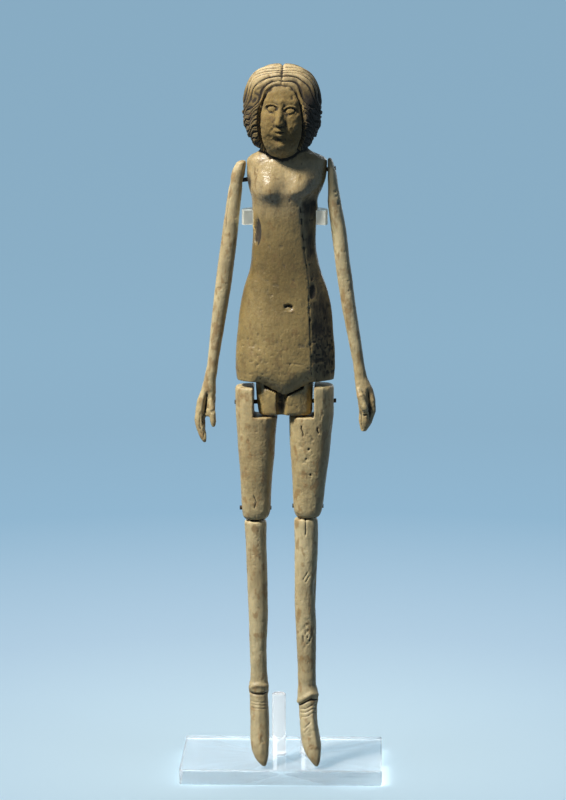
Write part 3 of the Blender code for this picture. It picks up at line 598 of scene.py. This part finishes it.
def body_grime_and_shade(points):
    """Painted shade, with some real soiling, laid on whatever the form.

    Painted shade lies in the gap round the face, along the chip's right rim, on the facet of the flank, low
    on the belly's side and under the doll's right shoulder. The sides and back of the hair are darker,
    partly soiling and partly painted shade; the fringe is darkened in patches, and the chip's core is
    soiled.
    """
    x, y, z = points.T
    in_front = y < 0.0
    ring = face_ring(x, z)
    # Painted shade: the narrow gap between cheek and hair is darkened as if the hair shaded it.
    cheek_gap_shade = bell(ring - 1.04, 0.05) * (y < -3.0)
    cheek_gap_shade = cheek_gap_shade * smooth(203.0, 207.0, z) * smooth(226.0, 222.0, z)
    from_chip = chip_distance(points)
    # Painted shadow: the chip's right rim is darkened as if its edge overhung it; the core below is soiled
    # ivory.
    from_chip_edge = x + 0.034 * (z - CHIP_MIDDLE[2]) ** 2
    chip_rim_shadow = bell(from_chip - CHIP_RIM, 0.07) * smooth(-7.05, -6.75, from_chip_edge)
    chip_core = 0.16 * (from_chip < CHIP_RIM) * (0.6 + 0.6 * noise(points, 0.9, 55))
    above_neck = smooth(202.0, 204.0, z)
    # Darker hair on the sides and back: partly soiling, partly painted shade, deepest on the doll's left
    # side, which faces away from the key light. The fringe over the brow is darkened in noisy patches.
    hair_soil_and_shade = smooth(1.05, 1.15, ring) * smooth(227.0, 219.0, z) * above_neck
    hair_soil_and_shade = np.maximum(hair_soil_and_shade, (y > 0.0) * above_neck) * (0.62 + 0.3 * smooth(3.0, 9.0, x))
    fringe = smooth(1.04, 1.10, ring) * smooth(1.5, 1.2, ring) * smooth(214.0, 220.0, z)
    hair_soil_and_shade = np.maximum(hair_soil_and_shade, fringe * in_front * (0.28 + 0.35 * noise(points, 2.6, 54)))
    # Painted shade on the flank's facet beyond the ridge, which faces away from the key light.
    ridge_x, ridge_z = np.array(RIDGE_CRACK[::-1]).T
    past_ridge = x - np.interp(z, ridge_z, ridge_x)
    facet = smooth(0.0, 0.9, past_ridge) * in_front * smooth(192.0, 184.0, z)
    # Painted shade low on the belly's side, towards the doll's left.
    low_belly_shade = 0.16 * smooth(5.0, 9.0, x) * smooth(164.0, 148.0, z) * (z > 126.0) * in_front
    # Painted shade on the chest's side under the doll's right arm.
    under_arm_shade = smooth(-9.1, -9.9, x) * bell(z - 192.5, 4.0)
    return hair_soil_and_shade + 0.8 * cheek_gap_shade + 0.9 * under_arm_shade + chip_rim_shadow + chip_core + low_belly_shade + 0.40 * facet


def limb_grime(points):
    """Brown blotches, thickest on the fingers."""
    fingers = smooth(20.0, 22.0, np.abs(points[:, 0])) * smooth(127.0, 117.0, points[:, 2])
    blotches = smooth(0.30, 0.85, noise(points * (1.0, 1.0, 0.7), 1.5, 52))
    small = smooth(0.25, 0.8, noise(points, 0.7, 53))
    return 0.14 * fingers + (0.05 + 0.14 * fingers) * blotches + (0.08 + 0.26 * fingers) * small


def hollows(mesh, grime_and_shade):
    """Keeps with the mesh how dark each point is to be: soiled from how deep it lies, plus what the given
    mask adds, which on the body is mostly painted shade.
    """
    points = vertices_of(mesh)
    normals = normals_of(mesh)
    edges = edges_of(mesh)
    count = np.maximum(np.bincount(edges.ravel(), minlength=len(points)), 1)[:, None]
    broad = points.copy()
    for _ in range(HOLLOW_ROUNDS):
        broad = neighbours_middle(broad, edges, count)
    depth = ((broad - points) * normals).sum(1)
    layer = mesh.attributes.new("hollow", "FLOAT", "POINT")
    dirt_and_shade = np.clip(depth / HOLLOW_FULL, CREST_CLEAN, 1.0) + grime_and_shade(points)
    layer.data.foreach_set("value", np.clip(dirt_and_shade, -1.0, 1.0).astype(np.float32))


def ivory_piece(node, seed, plain, marks):
    """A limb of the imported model, meshed finely, weathered and marked.

    Plain says where it is plainly round, as (rounds of evening out, lowest, highest).
    """
    item = add_object("ivory_" + node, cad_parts[node].data.copy())
    remesh(item, VOXEL)
    even_out(item.data, LIMB_ROUNDS)
    for rounds, low, high in plain:
        even_out(item.data, rounds, low, high)
    points = vertices_of(item.data)
    normals = normals_of(item.data)
    weather(points, normals, 1.0, seed)
    for kind, *sizes in marks:
        kind(points, normals, *sizes)
    move_vertices(item.data, points)
    finish_ivory(item, node, LIMB_FACES, limb_material, limb_grime)
    return item


def finish_ivory(item, node, most_faces, material, grime_and_shade):
    thin_out(item, most_faces)
    hollows(item.data, grime_and_shade)
    item.data.shade_smooth()
    item.data.materials.clear()
    item.data.materials.append(material)
    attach(item, "root")
    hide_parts(node)


def pitted(points, normals, middle, sizes, depth):
    """A patch of crowded small pits: its middle and half sizes, across and up."""
    share = ((points[:, 0] - middle[0]) / sizes[0]) ** 2 + ((points[:, 2] - middle[1]) / sizes[1]) ** 2
    holes = smooth(0.05, 0.6, noise(points * (1.0, 1.0, 0.7), 0.75, 41))
    amount = depth * np.exp(-share ** 2) * holes * (normals[:, 1] < 0.3)
    points -= normals * amount[:, None]


# Marks of the limbs, seen from the front: what is cut, where, how wide, how deep and how its ends fade
MARKS = {
    "right_arm": [
        (carve, [(-16.2, 194.0), (-16.8, 188.5), (-17.8, 182.1), (-18.0, 175.6)], 0.28, 0.4),
        (carve, [(-23.9, 124.8), (-24.3, 121.5), (-24.8, 117.6), (-25.1, 112.0)], 0.7, 2.0, 0.35),
        (carve, [(-26.3, 118.0), (-26.5, 112.5), (-25.5, 109.2)], 0.3, 0.3),
        (pitted, (-22.8, 120.0), (2.0, 4.5), 0.3),
        (pitted, (-25.2, 111.0), (1.6, 2.5), 0.3),
    ],
    "left_arm": [
        (carve, [(25.4, 124.2), (26.6, 120.8), (27.9, 117.8)], 1.1, -0.5),
        (carve, [(28.3, 126.0), (29.2, 121.8), (29.7, 118.8), (29.3, 113.5)], 0.8, 1.6, 0.3),
        (carve, [(26.7, 116.5), (28.1, 116.7), (29.4, 117.3)], 0.3, 0.5),
        (carve, [(25.9, 118.0), (25.7, 114.0), (26.5, 110.5)], 0.4, 0.6),
        (pit, (17.5, 189.6), (0.6, 0.6), 0.2),
        (pit, (17.8, 188.1), (0.5, 0.5), 0.15),
        (pit, (18.6, 186.0), (0.4, 0.8), 0.25),
    ],
    "right_thigh": [
        (carve, [(-9.0, 90.7), (-8.0, 88.1), (-8.7, 85.4)], 0.25, 0.25),
        (pitted, (-8.5, 88.5), (3.0, 4.0), 0.08),
    ],
    "left_thigh": [
        (carve, [(6.9, 114.0), (6.7, 112.6), (7.3, 111.0), (7.2, 109.8)], 0.22, 0.45),
        (carve, [(12.2, 113.3), (12.0, 112.2), (12.6, 110.8)], 0.22, 0.45),
        (pit, (9.2, 105.9), (0.3, 0.5), 0.3),
        (pit, (8.3, 102.6), (0.25, 0.4), 0.25),
        (pit, (9.8, 97.3), (0.35, 0.45), 0.35),
        (pitted, (9.0, 104.0), (3.6, 12.0), 0.13),
    ],
    "right_shin": [
        (pit, (-8.7, 82.6), (2.3, 1.2), 0.9),
        (carve, [(-10.6, 25.0), (-9.0, 26.0), (-7.4, 26.4), (-5.6, 26.0), (-3.9, 25.3)], 0.7, -0.35, 0.0),
        (carve, [(-10.6, 23.5), (-7.2, 23.3), (-3.8, 23.6)], 0.42, 0.65, 0.0),
        (carve, [(-10.4, 20.9), (-7.5, 20.7), (-4.0, 20.4)], 0.2, 0.16, 0.05),
        (carve, [(-10.4, 19.9), (-7.5, 19.8), (-4.0, 19.5)], 0.2, 0.16, 0.05),
        (carve, [(-10.2, 18.8), (-7.5, 18.7), (-4.0, 18.4)], 0.2, 0.14, 0.05),
        (carve, [(-10.2, 16.9), (-8.2, 16.7)], 0.2, 0.12),
        (carve, [(-7.4, 21.8), (-7.2, 13.8), (-6.1, 3.6)], 0.7, -0.25, 0.1),
        (pitted, (-6.6, 9.4), (1.6, 2.4), 0.2),
    ],
    "left_shin": [
        (carve, [(8.0, 84.6), (8.2, 80.5), (8.1, 76.0)], 0.2, 0.38),
        (carve, [(7.0, 61.4), (9.1, 64.9)], 0.22, 0.2),
        (carve, [(8.0, 60.8), (9.5, 63.6)], 0.22, 0.2),
        (pit, (12.0, 58.9), (1.5, 3.6), 0.4),
        (pitted, (8.9, 43.0), (2.6, 4.6), 0.28),
        (carve, [(5.8, 20.6), (7.8, 22.2), (10.2, 23.5), (12.9, 22.6)], 0.8, -0.5, 0.0),
        (carve, [(5.8, 19.4), (8.0, 20.7), (10.0, 21.7), (12.9, 21.0)], 0.33, 0.55, 0.0),
        (carve, [(6.2, 18.4), (8.4, 18.7), (10.4, 19.8), (12.6, 19.5)], 0.2, 0.22, 0.05),
        (carve, [(6.2, 17.2), (8.4, 17.5), (10.4, 18.5), (12.6, 18.3)], 0.2, 0.24, 0.05),
        (carve, [(6.5, 15.9), (8.4, 16.1), (10.4, 17.1), (12.6, 17.0)], 0.2, 0.20, 0.05),
        (carve, [(7.4, 12.0), (10.0, 14.6)], 0.2, 0.22),
        (carve, [(7.4, 10.6), (9.4, 12.8)], 0.2, 0.2),
        (carve, [(10.2, 20.0), (10.5, 13.9), (12.0, 5.4)], 0.7, -0.35, 0.1),
    ],
}

# Where each kind of limb is plainly round: rounds of evening out, lowest and highest
PLAIN_HEIGHTS = {
    "arm": [(120, 130.0, 195.0)],
    "thigh": [(120, 87.0, 116.0)],
    "shin": [(120, 28.0, 81.0), (40, 1.0, 22.0)],
}


# Finishes


def new_material(name):
    material = bpy.data.materials.new(name)
    material.use_nodes = True
    return material, material.node_tree.nodes, material.node_tree.links


def add(nodes, kind, **settings):
    node = nodes.new(kind)
    for name, value in settings.items():
        setattr(node, name, value)
    return node


def noise_texture(nodes, links, coordinates, scale, detail, stretch=(1.0, 1.0, 1.0)):
    mapping = add(nodes, "ShaderNodeMapping")
    mapping.inputs["Scale"].default_value = stretch
    links.new(coordinates, mapping.inputs["Vector"])
    texture = add(nodes, "ShaderNodeTexNoise")
    texture.inputs["Scale"].default_value = scale
    texture.inputs["Detail"].default_value = detail
    links.new(mapping.outputs["Vector"], texture.inputs["Vector"])
    return texture.outputs["Fac"]


def ramp(nodes, links, value, stops):
    """Turns a value into a colour or a grey by (place, colour) stops."""
    node = add(nodes, "ShaderNodeValToRGB")
    elements = node.color_ramp.elements
    while len(elements) < len(stops):
        elements.new(0.5)
    for element, (place, colour) in zip(elements, stops):
        element.position = place
        element.color = colour if len(colour) == 4 else (*colour, 1.0)
    links.new(value, node.inputs["Fac"])
    return node.outputs["Color"]


def mix(nodes, links, share, first, second, blend="MIX"):
    """Mixes two colours; the share and the colours are each a value or another node's output."""
    node = add(nodes, "ShaderNodeMix", data_type="RGBA", blend_type=blend)
    for name, value in (("Factor", share), ("A", first), ("B", second)):
        socket = node.inputs[name]
        if isinstance(value, bpy.types.NodeSocket):
            links.new(value, socket)
        else:
            socket.default_value = value
    return node.outputs["Result"]


def grey(value):
    return (value, value, value, 1.0)


def by_height(nodes, links, place, stops):
    """A colour that follows (height, colour) stops up the piece."""
    split = add(nodes, "ShaderNodeSeparateXYZ")
    links.new(place, split.inputs["Vector"])
    share = add(nodes, "ShaderNodeMath", operation="DIVIDE")
    share.inputs[1].default_value = FULL_HEIGHT
    links.new(split.outputs["Z"], share.inputs[0])
    placed = [(height / FULL_HEIGHT, colour) for height, colour in stops]
    return ramp(nodes, links, share.outputs["Value"], placed)


def ivory(name, light_tone, dark_tone, stain, dirt_and_shade, stain_from, patina_and_light, polish):
    """Old ivory: cloudy tone, long fine grain, brown stains and pores, and a dark tone where the stored
    layer says: soiled hollows, and on the body painted shade too.

    Patina and light: a list of (height, colour), how handling has darkened or cleaned each height, and on
    the body also painted light, a lighter, bluer chest and crown of the hair where the key light falls.
    Polish is a list of (height, share of the full roughness).
    """
    material, nodes, links = new_material(name)
    shader = nodes["Principled BSDF"]
    place = add(nodes, "ShaderNodeTexCoord").outputs["Object"]
    clouds = noise_texture(nodes, links, place, 70.0, 3.0, (1.0, 1.0, 0.6))
    colour = ramp(nodes, links, clouds, [(0.36, dark_tone), (0.62, light_tone)])
    colour = mix(nodes, links, 1.0, colour, by_height(nodes, links, place, patina_and_light), "MULTIPLY")
    mottle = noise_texture(nodes, links, place, 380.0, 6.0, (1.0, 1.0, 0.7))
    shade = ramp(nodes, links, mottle, [(0.30, grey(0.66)), (0.52, grey(1.0)), (0.75, grey(1.10))])
    colour = mix(nodes, links, 0.7, colour, shade, "MULTIPLY")
    grain = noise_texture(nodes, links, place, 1900.0, 3.0, (1.0, 1.0, 0.10))
    lines = ramp(nodes, links, grain, [(0.35, grey(0.82)), (0.6, grey(1.0))])
    colour = mix(nodes, links, 0.4, colour, lines, "MULTIPLY")
    spots = noise_texture(nodes, links, place, 460.0, 8.0, (1.0, 1.0, 0.6))
    where = ramp(nodes, links, spots, [(stain_from, grey(0.0)), (stain_from + 0.10, grey(0.7))])
    colour = mix(nodes, links, where, colour, stain)
    # The stored layer mixes in the dark tone and mattes the surface: soiling in the hollows, and on the body
    # painted shade where its mask puts it.
    hollow = add(nodes, "ShaderNodeAttribute", attribute_name="hollow").outputs["Fac"]
    dirt_and_shade_share = ramp(nodes, links, hollow, [(0.06, grey(0.0)), (0.60, grey(1.0))])
    colour = mix(nodes, links, dirt_and_shade_share, colour, dirt_and_shade)
    links.new(colour, shader.inputs["Base Color"])
    rough = noise_texture(nodes, links, place, 900.0, 4.0)
    rough = ramp(nodes, links, rough, [(0.3, grey(0.55)), (0.7, grey(1.0))])
    polish = [(height, grey(value)) for height, value in polish]
    rough = mix(nodes, links, 1.0, rough, by_height(nodes, links, place, polish), "MULTIPLY")
    rough = mix(nodes, links, dirt_and_shade_share, rough, grey(1.0))
    links.new(rough, shader.inputs["Roughness"])
    bump = add(nodes, "ShaderNodeBump")
    bump.inputs["Strength"].default_value = 0.8
    bump.inputs["Distance"].default_value = 0.0002
    tooth = noise_texture(nodes, links, place, 1300.0, 8.0, (1.0, 1.0, 0.8))
    links.new(tooth, bump.inputs["Height"])
    links.new(bump.outputs["Normal"], shader.inputs["Normal"])
    shader.inputs["IOR"].default_value = 1.5
    shader.inputs["Subsurface Weight"].default_value = 0.12
    shader.inputs["Subsurface Radius"].default_value = (1.0, 0.6, 0.3)
    shader.inputs["Subsurface Scale"].default_value = 0.0012
    return material


def iron():
    material, nodes, links = new_material("old_iron")
    shader = nodes["Principled BSDF"]
    place = add(nodes, "ShaderNodeTexCoord").outputs["Object"]
    rust = noise_texture(nodes, links, place, 1800.0, 4.0)
    colour = ramp(nodes, links, rust, [(0.35, (0.022, 0.020, 0.018)), (0.7, (0.085, 0.048, 0.028))])
    links.new(colour, shader.inputs["Base Color"])
    rough = ramp(nodes, links, rust, [(0.3, grey(0.38)), (0.7, grey(0.75))])
    links.new(rough, shader.inputs["Roughness"])
    bump = add(nodes, "ShaderNodeBump")
    bump.inputs["Distance"].default_value = 0.0001
    links.new(rust, bump.inputs["Height"])
    links.new(bump.outputs["Normal"], shader.inputs["Normal"])
    shader.inputs["Metallic"].default_value = 0.8
    return material


def acrylic(name, smoothest, roughest, tone, clearness):
    """Clear acrylic: polished faces with faint haze, or sawn and satin ones."""
    material, nodes, links = new_material(name)
    shader = nodes["Principled BSDF"]
    place = add(nodes, "ShaderNodeTexCoord").outputs["Object"]
    shader.inputs["Base Color"].default_value = tone
    shader.inputs["IOR"].default_value = 1.49
    shader.inputs["Transmission Weight"].default_value = clearness
    haze = noise_texture(nodes, links, place, 240.0, 5.0)
    rough = ramp(nodes, links, haze, [(0.4, grey(smoothest)), (0.75, grey(roughest))])
    links.new(rough, shader.inputs["Roughness"])
    return material


def floor_and_backdrop():
    """A wide pale dish: a level floor that curves up all round into a wall."""
    profile = [(FLOOR_FLAT * share, 0.0) for share in FLOOR_RINGS]
    for step in range(1, FLOOR_STEPS + 1):
        turn = 0.5 * math.pi * step / FLOOR_STEPS
        profile.append((FLOOR_FLAT + FLOOR_RISE * math.sin(turn), FLOOR_RISE * (1.0 - math.cos(turn))))
    profile.append((FLOOR_FLAT + FLOOR_RISE, FLOOR_RISE + FLOOR_WALL))
    shape = bmesh.new()
    middle = shape.verts.new((0.0, 0.0, 0.0))
    turns = [2.0 * math.pi * index / FLOOR_SIDES for index in range(FLOOR_SIDES)]
    rings = []
    for radius, height in profile:
        ring = [(radius * math.cos(turn), radius * math.sin(turn), height) for turn in turns]
        rings.append([shape.verts.new(spot) for spot in ring])
    for index in range(FLOOR_SIDES):
        shape.faces.new((middle, rings[0][index], rings[0][(index + 1) % FLOOR_SIDES]))
    for inner, outer in zip(rings, rings[1:]):
        for index in range(FLOOR_SIDES):
            following = (index + 1) % FLOOR_SIDES
            shape.faces.new((inner[index], outer[index], outer[following], inner[following]))
    mesh = bpy.data.meshes.new("floor")
    shape.to_mesh(mesh)
    shape.free()
    mesh.shade_smooth()
    floor = add_object("floor", mesh)
    material, nodes, links = new_material("pale_floor")
    shader = nodes["Principled BSDF"]
    place = add(nodes, "ShaderNodeTexCoord").outputs["Object"]
    length = add(nodes, "ShaderNodeVectorMath", operation="LENGTH")
    links.new(place, length.inputs[0])
    # Painted light: the floor's colour is palest round the doll and darkens outwards, a painted pool of
    # light.
    tone = ramp(nodes, links, length.outputs["Value"], [
        (0.05, (0.70, 0.90, 1.0)),
        (0.20, (0.53, 0.72, 0.87)),
        (0.45, (0.15, 0.23, 0.30)),
        (0.7, (0.05, 0.08, 0.10)),
    ])
    # Painted light: the outer floor and the wall give off light of their own, though no lamp is there.
    painted_backdrop_light = ramp(nodes, links, length.outputs["Value"], [
        (0.20, (0.0, 0.0, 0.0)),
        (0.45, (0.155, 0.27, 0.365)),
        (0.7, (0.22, 0.365, 0.49)),
        (1.0, (0.225, 0.375, 0.50)),
    ])
    links.new(tone, shader.inputs["Base Color"])
    links.new(painted_backdrop_light, shader.inputs["Emission Color"])
    shader.inputs["Emission Strength"].default_value = 1.0
    shader.inputs["Roughness"].default_value = 0.9
    shader.inputs["Specular IOR Level"].default_value = 0.1
    mesh.materials.append(material)
    return floor


def camera():
    data = bpy.data.cameras.new("camera")
    data.lens = CAMERA_LENS
    data.sensor_width = CAMERA_SENSOR
    data.clip_start = 0.01
    item = bpy.data.objects.new("camera", data)
    item.location = CAMERA_PLACE
    item.rotation_euler = (math.pi / 2.0 - CAMERA_TILT, 0.0, CAMERA_TURN)
    bpy.context.scene.collection.objects.link(item)
    bpy.context.scene.camera = item


def area_light(name, place, target, size, power, colour, lights_only):
    """A square light that shines from a place to a target, on one collection alone."""
    data = bpy.data.lights.new(name, "AREA")
    data.size = size
    data.energy = power
    data.color = colour
    item = bpy.data.objects.new(name, data)
    item.location = place
    item.rotation_euler = (Vector(target) - Vector(place)).to_track_quat("-Z", "Y").to_euler()
    bpy.context.scene.collection.objects.link(item)
    item.light_linking.receiver_collection = lights_only


def room_light(colour, strength):
    world = bpy.context.scene.world or bpy.data.worlds.new("world")
    bpy.context.scene.world = world
    world.use_nodes = True
    background = world.node_tree.nodes["Background"]
    background.inputs["Color"].default_value = (*colour, 1.0)
    background.inputs["Strength"].default_value = strength


camera()
floor = floor_and_backdrop()

body_material = ivory(
    "ivory_body",
    light_tone=(0.43, 0.312, 0.122, 1.0),
    dark_tone=(0.30, 0.21, 0.073, 1.0),
    stain=(0.17, 0.105, 0.036, 1.0),
    # Dark tone for soiled hollows and for the painted shade of the body's mask.
    dirt_and_shade=(0.030, 0.021, 0.012, 1.0),
    stain_from=0.57,
    # Body rows, partly painted light: the bluish-white rows at 0.196 and 0.205 paint a lit, shining chest,
    # and the row at 0.235 paints the lit crown of the hair; the other rows darken the ivory by height, most
    # round the waist.
    patina_and_light=[
        (0.130, (0.85, 0.85, 0.85)), (0.150, (0.68, 0.67, 0.63)), (0.172, (0.48, 0.455, 0.38)),
        (0.186, (0.56, 0.55, 0.53)), (0.196, (1.08, 1.14, 1.55)), (0.205, (1.20, 1.25, 1.6)),
        (0.212, (0.66, 0.62, 0.50)), (0.228, (0.53, 0.50, 0.42)), (0.235, (1.42, 1.53, 2.15)),
    ],
    polish=[
        (0.14, 0.55), (0.185, 0.46), (0.195, 0.33), (0.205, 0.38), (0.212, 1.2), (0.228, 1.35), (0.238, 0.8),
    ],
)
limb_material = ivory(
    "ivory_limbs",
    light_tone=(0.60, 0.495, 0.275, 1.0),
    dark_tone=(0.43, 0.33, 0.165, 1.0),
    stain=(0.26, 0.155, 0.055, 1.0),
    dirt_and_shade=(0.05, 0.035, 0.02, 1.0),
    stain_from=0.53,
    patina_and_light=[
        (0.010, grey(0.72)), (0.030, grey(0.78)), (0.060, grey(0.93)), (0.085, grey(0.95)),
        (0.100, (0.79, 0.75, 0.66)), (0.128, (0.84, 0.80, 0.72)), (0.145, grey(0.90)), (0.200, grey(0.95)),
    ],
    polish=[(0.02, 0.72), (0.18, 0.66)],
)

body = body_skin()
even_out(body.data, BODY_ROUNDS)
sharpen_head(body.data)
sculpt_body(body.data)
finish_ivory(body, "head_and_torso", BODY_FACES, body_material, body_grime_and_shade)

limbs = []
for order, (node, marks) in enumerate(MARKS.items()):
    plain = PLAIN_HEIGHTS[node.split("_")[1]]
    limbs.append(ivory_piece(node, LIMB_SEED + SEED_STEP * order, plain, marks))

iron_material = iron()
polished = acrylic(
    "clear_acrylic", smoothest=0.02, roughest=0.10, tone=(0.98, 0.96, 0.95, 1.0), clearness=0.82,
)
satin = acrylic(
    "satin_acrylic", smoothest=0.30, roughest=0.45, tone=(0.72, 0.71, 0.61, 1.0), clearness=0.5,
)
for node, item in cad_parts.items():
    if node.endswith("_pin"):
        item.material_slots[0].material = iron_material
    if node.startswith("stand_"):
        item.material_slots[0].material = satin if node == "stand_cradle" else polished

doll = bpy.data.collections.new("lit_by_key")
ground = bpy.data.collections.new("lit_from_above")
stand = bpy.data.collections.new("lit_from_the_front")
for collection in (doll, ground, stand):
    bpy.context.scene.collection.children.link(collection)
for item in [body, *limbs, *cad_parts.values()]:
    doll.objects.link(item)
ground.objects.link(floor)
floor.visible_diffuse = False
for node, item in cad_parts.items():
    if node.startswith("stand_"):
        stand.objects.link(item)
        item.visible_shadow = False

bpy.context.scene.view_settings.view_transform = "Standard"
room_light(colour=(0.62, 0.78, 0.95), strength=0.11)
out = math.cos(KEY_RISE)
key_from = Vector((-math.sin(KEY_TURN) * out, -math.cos(KEY_TURN) * out, math.sin(KEY_RISE)))
middle = Vector((0.0, FIGURE_Y, 0.12))
area_light(
    "key", middle + key_from * KEY_DISTANCE, middle,
    size=0.24, power=43.0, colour=(1.0, 0.98, 0.94), lights_only=doll,
)
area_light(
    "behind", (0.7, 1.3, 0.6), middle,
    size=0.9, power=6.0, colour=(0.92, 0.96, 1.0), lights_only=doll,
)
area_light(
    "before_stand", (-0.3, -1.2, 0.5), (0.0, 0.0, 0.1),
    size=0.5, power=4.3, colour=(0.96, 0.97, 1.0), lights_only=stand,
)
area_light(
    "over_floor", (0.0, 0.2, 1.6), (0.0, 0.25, 0.0),
    size=1.6, power=26.0, colour=(1.0, 1.0, 1.0), lights_only=ground,
)
